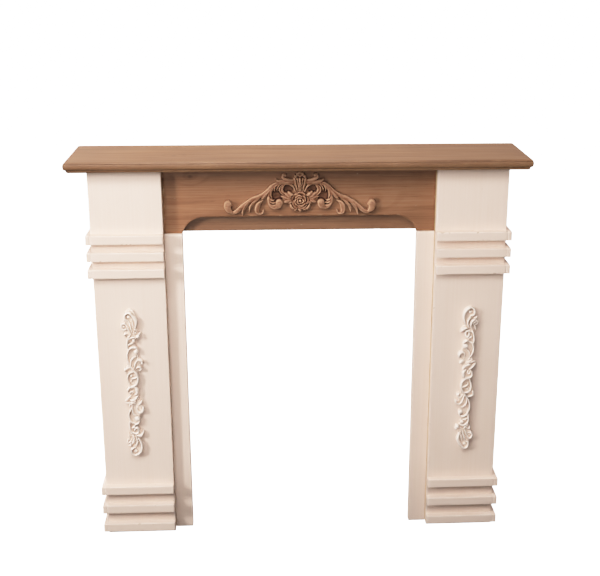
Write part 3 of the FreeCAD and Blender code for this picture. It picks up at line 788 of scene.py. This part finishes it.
# Strokes: section, height, half widths from start to end, points as u, w, u, w and so on, and "over" to
# lie on top. All in millimetres from the foot of the carving's middle line.
CENTRE_HALF = [
    # low ground that ties the parts together
    ("flat", 1.3, (1.1, 3.7, 4.3, 4.3, 3.7, 2), (31.5, 81.5, 60, 73, 74.5, 58, 88.5, 49, 108.5, 39, 131.5,
     25.5)),
    ("flat", 1.3, (5.7, 8.5, 7.1, 4.3), (0, 40.5, 17.5, 46, 29, 47.5, 40, 49)),
    ("flat", 1.3, (1.4, 3.1, 3.1, 2.8, 2), (37.5, 81.5, 54.5, 77.5, 67.5, 65.5, 72.5, 49, 68.5, 31.5)),
    ("flat", 1.3, (2.8, 3.7, 2), (10.5, 84.5, 29, 85, 37.5, 90.5)),
    # thin ground inside the C scroll and the eye above it, low enough to take the dark hollow colour as
    # painted shade
    ("flat", 0.5, (8, 14, 16, 14, 9), (60, 72, 58.5, 62, 58, 50, 59, 39, 62, 30)),
    ("flat", 0.5, (11, 13, 11), (27, 71, 31, 66, 36, 60)),
    # arm and its end curl
    ("round", 8.5, (1.7, 2.8, 3.5, 3.6, 3.8, 3.8, 4.2, 4.5, 4.5, 4.5, 4.5, 4.5, 4.2, 3.5, 3.8, 5.2, 5.9,
     5.2), (46, 82, 56, 80.5, 66, 74.5, 74.5, 66, 82, 59, 90, 53, 100, 47.5, 111.5, 43, 121.5, 37.5, 131.5,
     30.5, 140, 24, 147, 17.5, 154, 11.5, 161.5, 9, 167, 11, 172.5, 17.5, 174.5, 25.5, 172.5, 33)),
    ("round", 11.4, (3.8, 5.9, 7.3, 7.6), (167, 11.5, 172.5, 17, 174.5, 24, 173.5, 29.5)),
    bead(12, 8.7, 173, 30),
    ("round", 8, (2.8, 2.1), (167, 31.5, 164.5, 28)),
    ("ridge", 9.5, (1.4, 2.8, 3.8, 4.2, 3.5, 1), (63, 76, 69.5, 68.5, 75.5, 60.5, 82.5, 53.5, 88.5, 46, 92.5,
     40.5)),
    # blades under the arm
    ("left", 9.4, (1, 3.1, 3.8, 3.6, 3, 2.1, 0.7), (106.5, 42, 116.5, 38, 125, 32.5, 131.5, 25, 136, 16.5,
     138.5, 7.5, 139.5, 2)),
    ("left", 9.1, (1, 2.8, 3.5, 3.1, 2.3, 0.7), (96, 44, 106.5, 37.5, 114.5, 30, 119.5, 23, 121.5, 15, 122.5,
     8.5)),
    # small scroll under the arm
    ("left", 10.6, (0.9, 2.8, 4.5, 5.2, 4.5, 2.8, 1.9, 1.6, 1.2), (88.5, 38, 95.5, 34, 101, 28, 103.5, 19.5,
     103.5, 12, 100, 7, 94.5, 6, 90, 9.5, 88.5, 14)),
    bead(8, 1.7, 89.5, 12.5),
    # large C scroll
    ("round", 9.2, (1.4, 1.7, 2.1, 2.1, 2.1, 2.3, 2.6, 2.8, 2.8, 2.8, 2.6, 2.6, 2.6, 2.8, 3, 3.3, 4, 4.5,
     4.5), (11.5, 59, 13.5, 66, 18, 73, 24.5, 77.5, 31.5, 79.5, 40, 80, 49, 79, 57.5, 76, 64.5, 70.5, 70, 63,
     74, 55, 76, 46, 76, 37.5, 73.5, 29, 68.5, 23, 61.5, 20.5, 55, 23, 51, 27.5, 51, 33.5)),
    ("round", 11.2, (4.2, 6.3, 7.3), (56.5, 23, 51.5, 26.5, 50.5, 33)),
    bead(11.6, 7.6, 51, 33),
    # fronds inside the C
    ("left", 9.6, (0.9, 1.8, 2.1, 1.8, 0.6), (58.5, 75.5, 65.5, 68.5, 69.5, 59.5, 70, 50.5, 67.5, 42.5)),
    ("left", 8.9, (0.7, 1.6, 1.6, 0.6), (52, 77.5, 58.5, 72.5, 61.5, 65.5, 61, 59.5)),
    ("left", 8.9, (0.7, 1.7, 1.6, 0.6), (45.5, 78, 51.5, 73.5, 55, 67, 55, 60.5)),
    ("left", 9.8, (0.7, 1.6, 2.1, 1.8, 1.3, 0.7), (40, 77.5, 46.5, 72, 49, 65, 47, 58.5, 43, 53.5, 38, 51)),
    ("left", 9.1, (0.9, 1.8, 1.7, 0.6), (74.5, 51, 72, 43, 67, 39, 62.5, 39)),
    ("left", 9.1, (0.9, 1.8, 1.7, 0.6), (74.5, 41.5, 70.5, 35, 64.5, 32.5, 58.5, 34)),
    ("left", 9.1, (0.9, 1.7, 1.6, 0.7), (71.5, 30, 65.5, 26, 59.5, 27, 55, 31.5)),
    # crescent round the inner hollow
    ("right", 8.8, (0.9, 3, 3.6, 3.1, 1.2), (35.5, 78, 42, 73, 45, 65.5, 42, 57.5, 36, 52.5)),
    # top hook and leaf spike
    ("ridge", 9.6, (0.7, 2.6, 4.2, 5.2, 5.2, 3.8), (57.5, 90.5, 53, 86, 46, 83.5, 37.5, 83, 27.5, 83, 16.5,
     83)),
    ("round", 9.8, (2.1, 3.3, 3.5, 3.3, 3, 2.4, 1.7), (15.5, 87.5, 24.5, 87.5, 33, 89.5, 39, 93, 41.5, 97,
     39.5, 101, 34.5, 101.5)),
    bead(9.6, 3.1, 35.5, 99.5),
    # shell behind the rose
    ("left", 10.1, (1, 2.2, 3.1, 3.5, 2.5), (7, 60, 9, 70, 11.5, 78.5, 13.5, 86, 14, 91)),
    ("left", 11, (0.7, 1.4, 1.9, 2.2), (3, 60.5, 4, 71.5, 5.5, 81.5, 7, 90.5)),
    bead(9.6, 3.8, 11, 97.5), bead(9.8, 4.2, 5.5, 102.5),
    # acanthus leaves beside the rose
    ("flat", 6, (2.3, 5.7, 6.6, 4.8, 1.1), (11.5, 43, 21.5, 45.5, 30.5, 46, 37.5, 44.5, 43, 46)),
    ("ridge", 8.4, (2.1, 4.5, 3.8, 0.9), (20.5, 41, 29, 43, 37, 46, 45.5, 48)),
    ("ridge", 8.8, (2.1, 3.8, 3.1, 0.7), (21.5, 37.5, 28.5, 37, 34, 35.5, 39, 33.5)),
    ("ridge", 9.2, (1.7, 3.8, 3.3, 0.7), (17.5, 45.5, 27, 47.5, 33.5, 53, 38, 58)),
    ("left", 10.2, (1.7, 4.7, 4.5, 1.4), (13, 47.5, 19.5, 49, 25, 53.5, 28.5, 59)),
    ("ridge", 8.6, (2.1, 2.4, 0.5), (19.5, 36.5, 24.5, 33, 28, 29.5)),
    ("left", 8.6, (1.4, 2.8, 2.4, 1), (10.5, 18, 17.5, 18, 22, 24, 23, 31.5)),
    ("ridge", 8, (1.7, 2.4, 0.5), (7, 19.5, 11, 16, 14.5, 12.5)),
]

CENTRE_MIDDLE = [
    ("round", 12, (1.2, 1.9, 2.7, 3.4), (0, 60.5, 0, 71.5, 0, 81.5, 0, 90)),
    bead(10, 4.7, 0, 105.5), bead(9, 3.5, 0, 98.5),
    ("ridge", 9.5, (3.8, 4.5, 0.7), (0, 22.5, 0, 16.5, 0, 9)),
    ("round", 10, (16.8,), (0, 38), "over"),
]


def rose(relief, u, w, size, height):
    """Rings of cupped petals round a tight bud: each petal is a crescent higher on its outer side."""
    rings = ((1.0, 5, 0.27, 0.60, 70), (0.66, 4, 0.22, 0.80, 20), (0.36, 3, 0.17, 0.94, 100))
    for reach, count, fat, rise, start in rings:
        for k in range(count):
            centre = start + 360.0 * k / count
            half_span = 208.0 / count
            points = []
            for turn in (-1.0, -0.5, 0.0, 0.5, 1.0):
                a = math.radians(centre + turn * half_span)
                radius = size * reach * (0.76 + 0.12 * math.cos(turn * math.pi / 2) + 0.14 * turn)
                points.append((u + radius * math.cos(a), w + radius * math.sin(a)))
            thick = 0.86 * size * fat
            relief.stroke("right", height * rise, (0.35 * thick, thick, 1.1 * thick, thick, 0.35 * thick),
                          points, over=True, wall=PETAL_WALL)
    relief.stroke("round", height, (0.16 * size,), [(u, w)], over=True, wall=BUD_WALL)


PILASTER = [
    # low ground that ties the vine together
    ("flat", 2.8, (10, 13, 16, 16, 14, 9, 8.5, 10, 10, 12, 13, 15, 13, 11, 11, 11, 11, 14, 14, 13, 11.5, 9,
     9.5, 14, 14, 14, 12, 6), (0.2, 385, 0.5, 372, -4, 357, -4, 344, 1.9, 331, 0.4, 318.6, -1.5, 306, 2, 293,
     1.5, 280.5, 3.5, 268, 5, 255, 1, 242.6, -3.7, 230, 0, 217, 0, 204.5, -2.5, 186, -3, 170, -2, 154, 2.5,
     138, 2, 122.6, -1.3, 107, -4, 91, -2.5, 75, -1, 62.6, -4.5, 48.4, -3.5, 35.7, -0.7, 19.8, 1.6, 11)),
    # top scroll, its petal and the left curl
    ("round", 9, (1.3, 2.6, 3.8, 3.8, 2.9), (10, 345, 13, 353, 14, 364.5, 10, 374, 5.5, 380)),
    ("round", 9, (2.2, 2.4, 2.4, 2.2, 2.2, 2.1, 1.4), (5.5, 379.5, 1.5, 385, -4, 387, -10, 384, -13, 377,
     -11.5, 370.5, -6.5, 368)),
    bead(6.8, 3.8, -3.5, 376),
    ("round", 8, (1.4, 2.1, 2.1, 1.4), (-4.5, 366.5, -1.5, 358, 1, 348.5, 2.5, 337.5)),
    ("round", 7.6, (1.4, 1.9, 1.9, 1.3), (-11.5, 356.5, -7, 348.5, -4, 340.5, 0, 331.5)),
    ("round", 7.6, (1, 1.8, 1.3), (4, 368, 6, 357, 7, 347)),
    ("round", 8, (1.3, 2.1, 2.1, 2.1, 1.9, 1.3), (-10.5, 345, -18, 344, -22, 349.5, -20.5, 357, -15, 359.5,
     -10.5, 356)),
    bead(6.2, 2.9, -16.5, 350.5),
    # beads in the fork
    bead(8.6, 1.6, 6.5, 342), bead(8.6, 1.6, 10.5, 343.5), bead(8.6, 1.6, 14, 343.5),
    bead(8.6, 1.6, 7, 337.5), bead(8.6, 1.6, 11.5, 336), bead(8.6, 1.4, 7.5, 333), bead(9.8, 4.9, 17, 326),
    bead(8.6, 2.6, 21, 332),
    ("left", 7.4, (1.3, 1.9, 1.9, 1), (-6.5, 331, -12, 334, -16, 330.5, -15, 325)),
    # first stem, its leaves and arc
    ("round", 8.6, (1.4, 1.9, 2.2, 2.2, 1.9), (-0.5, 331, -7, 321.5, -10, 310.5, -10, 299, -8, 289)),
    ("round", 7.8, (1.3, 1.9, 1.9, 1.3), (-9, 314.5, -3, 320.5, 4, 323, 11, 321)),
    bead(8.8, 4.1, 6, 314),
    ("round", 7.6, (1.3, 1.9, 1), (-9.5, 303, -3.5, 306, 3, 308)),
    ("round", 8.8, (1.6, 2.1, 2.2, 2.2, 1.9), (-9, 286, -4.5, 293.5, 2.5, 297, 10.5, 296.5, 14, 290.5)),
    bead(9.8, 5.4, 10.5, 285.5),
    ("round", 8.8, (1.9, 2.1, 2.1, 2.1, 2.1, 2.1, 2.2, 2.2, 1.9), (-8.5, 287.5, -11.5, 277, -11.5, 266, -9,
     254.5, -4, 245, 2.5, 235.5, 9.5, 226, 12.5, 215, 11, 205.5)),
    # fronds on the right of the stem
    ("round", 8.4, (1.3, 1.9, 2.1, 1.8, 0.8), (-4, 247.5, -4, 256, -1.5, 264, 4, 270, 9, 273)),
    ("round", 8.4, (1.3, 1.9, 1.9, 1.1), (3.5, 240.5, 6, 250.5, 9, 258, 14, 263.5)),
    ("round", 8.4, (1.3, 1.9, 2.1, 1.6), (13.5, 263.5, 18.5, 263.5, 23, 260.5, 25, 254)),
    bead(9, 2.7, 23, 255),
    ("round", 8.2, (1.3, 1.9, 2.1, 2.1, 1.3), (7.5, 239.5, 12, 245, 17.5, 244.5, 20.5, 239, 16, 235)),
    # left leaves and the middle eye
    ("round", 8.2, (1.3, 2.1, 2.1, 1.3), (-6, 244, -13.5, 242, -19, 238, -18.5, 230.5)),
    ("round", 8.2, (1.3, 1.9, 1.9, 1.3), (-11, 222.5, -8.5, 228.5, -1.5, 232.5, 4.5, 232)),
    bead(8.2, 2.6, -4.5, 222),
    ("round", 8, (1, 1.6, 1.6, 1.3), (-4.5, 213, 2, 215, 7.5, 217.5, 12.5, 218)),
    ("round", 8.4, (1.8, 1.8, 1.8, 1.8), (-11.5, 226, -13.5, 216.5, -12.5, 207, -8.5, 197)),
    bead(8, 2.2, -5, 208.5),
    ("round", 8.8, (2.2, 2.2, 2.2, 2.2, 1.6), (11.5, 212.5, 10.5, 203.5, 5, 196.5, -2.5, 193.5, -9.5,
     195.5)),
    # C curl below the eye
    ("round", 9.4, (1.6, 3.5, 4, 3.2, 1.6), (2.5, 191.5, 6.5, 187, 8, 180.5, 6.5, 174, 1.5, 170)),
    ("round", 8.6, (1.3, 1.9, 1.9, 1.9, 1.6), (-14, 176.5, -14.5, 185, -9, 191, -1, 192, 6, 190)),
    ("round", 8.2, (1.3, 1.8, 1.6, 1.3), (-11, 172.5, -7, 179.5, -3, 179, -3, 174)),
    bead(7.4, 2.1, -8.5, 177),
    # crossing leaves
    ("round", 9, (1, 2.2, 2.4, 2.1, 1.1), (10, 169.5, 6.5, 163.5, 1, 158, -6.5, 156, -11, 158.5)),
    ("round", 8.4, (1.3, 2.1, 1.9, 0.8), (-7.5, 169, -13.5, 163, -18.5, 157, -22.5, 153.5)),
    ("ridge", 8.2, (0.8, 1.8, 1.9, 1.3), (-21.5, 148, -13.5, 149, -5, 150.5, 2.5, 152.5)),
    ("ridge", 8.2, (1, 1.8, 1.3), (-14, 142, -6.5, 146.5, 2, 148.5)),
    ("round", 9, (1.4, 2.7, 0.8), (9, 143.5, 14, 147.5, 18.5, 153.5)),
    ("round", 8.8, (1.3, 2.2, 2.9, 3.3, 2.6, 1.1), (5.5, 134.5, 7, 126.5, 12.5, 122.5, 18.5, 125.5, 21, 133,
     18, 139)),
    bead(8.2, 1.6, -12, 140.5), bead(8.2, 1.4, -7.5, 139.5), bead(8, 1.4, -11, 135), bead(8, 1.4, -4.5, 142),
    # lower stems and balls
    ("round", 8.6, (1.6, 1.9, 1.9, 1.9, 1.9, 1.6), (-7, 135, -13.5, 123.5, -15, 114, -13.5, 104.5, -10, 97,
     -4, 94.5)),
    ("round", 8.2, (1.1, 1.9, 1.9, 1.3), (-5.5, 134.5, -5.5, 125, -2, 118, 3, 115)),
    bead(10.4, 6.9, 5.5, 106),
    ("round", 8.8, (1.3, 2.2, 2.2, 1.6), (-4, 94, 1.5, 91.5, 7, 93.5, 11, 99)),
    ("round", 8.6, (1.3, 1.9, 1.9, 1.9, 1.6), (-13, 100.5, -15, 91.5, -15, 82, -13, 72.5, -10, 66)),
    ("round", 8.8, (1.1, 2.4, 1.1), (-9.5, 80.5, -4.5, 83, -0.5, 88)),
    ("round", 8.8, (1.3, 2.2, 2.7, 2.4, 1.6), (-1.5, 69, -2.5, 75.5, 2, 81, 6, 76.5, 5.5, 68)),
    ("round", 8, (1.3, 1.8, 1.8, 1.3), (-10, 69.5, -3, 65.5, 4.5, 66.5, 9, 72.5)),
    ("round", 9.4, (1.4, 3.2, 3, 1.1), (2, 59, 9.5, 59, 15, 62, 18.5, 69)),
    # bottom leaves and curl
    ("ridge", 8.2, (1.3, 1.8, 0.6), (-16, 53, -18, 58.5, -19, 65)),
    ("round", 8.8, (0.8, 2.2, 3, 2.4, 1.3), (-18.5, 34, -12.5, 37, -7, 42.5, -5.5, 51.5, -7.5, 58.5)),
    bead(8.2, 1.6, -21.5, 46.5), bead(8.2, 1.6, -22.5, 42), bead(8, 1.6, -18.5, 48.5),
    ("ridge", 7.8, (0.6, 1.8, 1.9, 1), (-22, 36, -18, 40, -13.5, 44, -11.5, 52)),
    ("round", 8.8, (1.3, 2.1, 2.4, 2.1, 0.8), (-1, 57, 2, 49, 2, 39.5, -2, 31.5, -6, 29)),
    ("round", 9.4, (1.4, 2.2, 2.6, 2.9, 3, 2.7, 1.1), (5.5, 50.5, 10, 42.5, 12.5, 33, 12.5, 23, 9.5, 14, 2,
     7, -6, 4)),
    ("round", 8.8, (1.3, 2.2, 2.2, 2.1, 1.4), (-4, 25.5, -11, 23.5, -14, 17, -12, 9, -5, 4.5)),
    bead(6.8, 4.5, -3.5, 16),
    ("ridge", 7.4, (0.5, 1.4, 1), (-21.5, 29, -17, 31.5, -12.5, 31)),
]


def centre_relief():
    relief = Relief((-186, 186), (-2, 112), CENTRE_GRID)
    relief.draw(CENTRE_HALF, CENTRE_GAIN, mirror=True)
    relief.draw(CENTRE_MIDDLE)
    rose(relief, 0.0, 37.5, 20.0, 12.5)
    return relief


def pilaster_relief():
    relief = Relief((-28, 28), (-2, 396), VINE_GRID)
    relief.draw(PILASTER)
    return relief


def relief_mesh(relief, origin, face_y, depth, turned=False):
    """The relief as a closed mesh on the plane y = face_y: points, faces and each point's lift."""
    inside = relief.cover > 0
    height = blur(relief.height)
    height = depth * (height / height.max()) ** BULGE
    soft = height
    for _ in range(SOFTENING):
        soft = blur(soft)
    lift = 0.5 + LOCAL_LIFT * (height - soft) + DEPTH_LIFT * (height / depth - MIDDLE_DEPTH)
    lift = np.clip(lift, 0, 1)
    flip = -1 if turned else 1
    points, shades = [], []

    def put(u, w, rise, shade):
        points.append((origin[0] + flip * u * MM, face_y - rise * MM, origin[1] + flip * w * MM))
        shades.append(shade)
        return len(points) - 1

    number = -np.ones(inside.shape, dtype=int)
    for i, j in np.argwhere(inside):
        number[i, j] = put(relief.u[i], relief.w[j], height[i, j], lift[i, j])
    foot, rim = {}, {}

    def crossing(a, b):
        key = (min(a, b), max(a, b))
        if key not in rim:
            share = relief.cover[a] / (relief.cover[a] - relief.cover[b])
            u = relief.u[a[0]] + share * (relief.u[b[0]] - relief.u[a[0]])
            w = relief.w[a[1]] + share * (relief.w[b[1]] - relief.w[a[1]])
            inner = a if inside[a] else b
            rim[key] = put(u, w, RIM_HEIGHT * height[inner], RIM_LIFT * lift[inner])
            foot[rim[key]] = put(u, w, 0.0, FOOT_LIFT)
        return rim[key]

    front, walls = [], []
    touched = inside[:-1, :-1] | inside[1:, :-1] | inside[1:, 1:] | inside[:-1, 1:]
    for i, j in np.argwhere(touched):
        ring = [(i, j), (i + 1, j), (i + 1, j + 1), (i, j + 1)]
        face, edges = [], []
        for a, b in zip(ring, ring[1:] + ring[:1]):
            if inside[a]:
                face.append(number[a])
            if inside[a] != inside[b]:
                face.append(crossing(a, b))
                edges.append((inside[a], face[-1]))
        front.append(tuple(face))
        for k, (leaves, one) in enumerate(edges):
            if leaves:
                two = edges[(k + 1) % len(edges)][1]
                walls.append((two, one, foot[one], foot[two]))
    under = {}
    for vertex in sorted({vertex for face in front for vertex in face}):
        if vertex in foot:
            under[vertex] = foot[vertex]
        else:
            x, _, z = points[vertex]
            points.append((x, face_y, z))
            shades.append(BACK_LIFT)
            under[vertex] = len(points) - 1
    back = [tuple(under[vertex] for vertex in reversed(face)) for face in front]
    return points, front + walls + back, shades


def carve(name, node, relief, base, material, turned=False):
    """The relief stands on the CAD casting's back plane, in the middle of its width, at its depth."""
    low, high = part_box(node)
    origin = ((low[0] + high[0]) / 2, base)
    points, faces, lift = relief_mesh(relief, origin, high[1], (high[1] - low[1]) / MM, turned)
    piece = add_piece(name, points, faces, material, {"relief": lift}, 75.0)
    stand_for(piece, node)


# ---- assembly
def finish_node(node, material):
    """A CAD node that keeps its shape and gets a new material."""
    NODES[node].data.materials.clear()
    NODES[node].data.materials.append(material)


def make_boards(side, face, returns, band_front, band_side, bare):
    """The boards and bands of one pilaster and its return."""
    for part, node, finish, slot, radius in (
            ("front_painted", "pilaster_front", face, "cream_paint", 1.3),
            ("outer_painted", "pilaster_outer_side", returns, "cream_paint", 1.0),
            ("inner_planed", "pilaster_inner_side", bare[2], "bare_pine", 1.0),
            ("return_painted", "return_panel", returns, "cream_paint", 1.0)):
        worn_board(f"{side}_{part}", f"{side}_{node}", 2, finish, radius * MM)
    for node in ("pilaster_top_board", "pilaster_bottom_board", "return_batten"):
        axis = 2 if node == "return_batten" else 1
        worn_board(f"{side}_{node}_planed", f"{side}_{node}", axis, bare[axis], 0.9 * MM)
    for level in ("lower", "upper"):
        for number in (1, 2, 3):
            band = f"{side}_{level}_band_{number}"
            for part, axis, finish, radius, wave in (("front", 0, band_front, 0.7, 0.3),
                                                     ("side", 1, band_side, 0.9, 0.2)):
                worn_board(f"{band}_{part}_painted", f"{band}_{part}", axis, finish,
                           radius * MM, wave * MM)


def make_mantel():
    # The shelf and the frieze get painted light that changes from left to right, and the frieze gets painted
    # shade under the shelf.
    shelf_pine = stained_pine("shelf_pine", 0, SHELF_KNOTS, tint=(0.93, 0.97, 0.93), roughness=0.55,
                              painted_falloff=(0.98, 1.0))
    frieze_pine = stained_pine("frieze_pine", 0, FRIEZE_KNOTS, 3.7, (1.06, 1.06, 1.10), specular=0.25,
                               painted_falloff=(1.13, 0.93), painted_shade=0.84)
    rail_pine = stained_pine("rail_pine", 0, (), 8.1, (0.84, 0.84, 0.85))
    bare = {axis: bare_pine(f"bare_pine_{axis}", axis) for axis in (0, 1, 2)}
    # Cream paints: the third number sets how dark the painted shade at the floor is; RECESSES places painted
    # shade between the lower bands and BAND_TOPS places painted highlights on the bands' tops.
    face = cream_paint("cream_upright", 2, 0.94, recesses=RECESSES)
    returns = cream_paint("cream_return", 2, 0.78)
    band_front = cream_paint("cream_band", 0, 0.88, shift=2.3, specks=1.6, tops=BAND_TOPS)
    band_side = cream_paint("cream_band_side", 1, 0.88, shift=5.1, specks=1.3, tops=BAND_TOPS)
    mantel_shelf(shelf_pine)
    arched_board(frieze_pine)
    worn_board("back_rail_stained", "frieze_back_rail", 0, rail_pine, 1.2 * MM)
    for side in ("left", "right"):
        make_boards(side, face, returns, band_front, band_side, bare)
    worn_board("shelf_batten_planed", "shelf_batten", 0, bare[0], 0.9 * MM)
    finish_node("wall_rail", bare[0])
    steel = zinc_steel("zinc_steel")
    for node in ("shelf_screws", "wall_rail_screws", "return_batten_screws"):
        finish_node(node, steel)

    crest = carved("carved_pine", CREST_TONES, specular=0.18)
    carve("centre_ornament_carved", "centre_ornament", centre_relief(),
          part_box("centre_ornament")[0][2] - CREST_FOOT, crest)
    cream_carving = carved("cream_carving", VINE_TONES, 0.10, 0.52)
    drop = pilaster_relief()
    for side, turned in (("left", False), ("right", True)):
        low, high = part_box(f"{side}_pilaster_ornament")
        base = high[2] + DROP_FOOT if turned else low[2] - DROP_FOOT
        carve(f"{side}_pilaster_ornament_carved", f"{side}_pilaster_ornament", drop, base,
              cream_carving, turned)


make_camera()
make_lights()
make_sky()
set_film()
make_floor()
make_mantel()
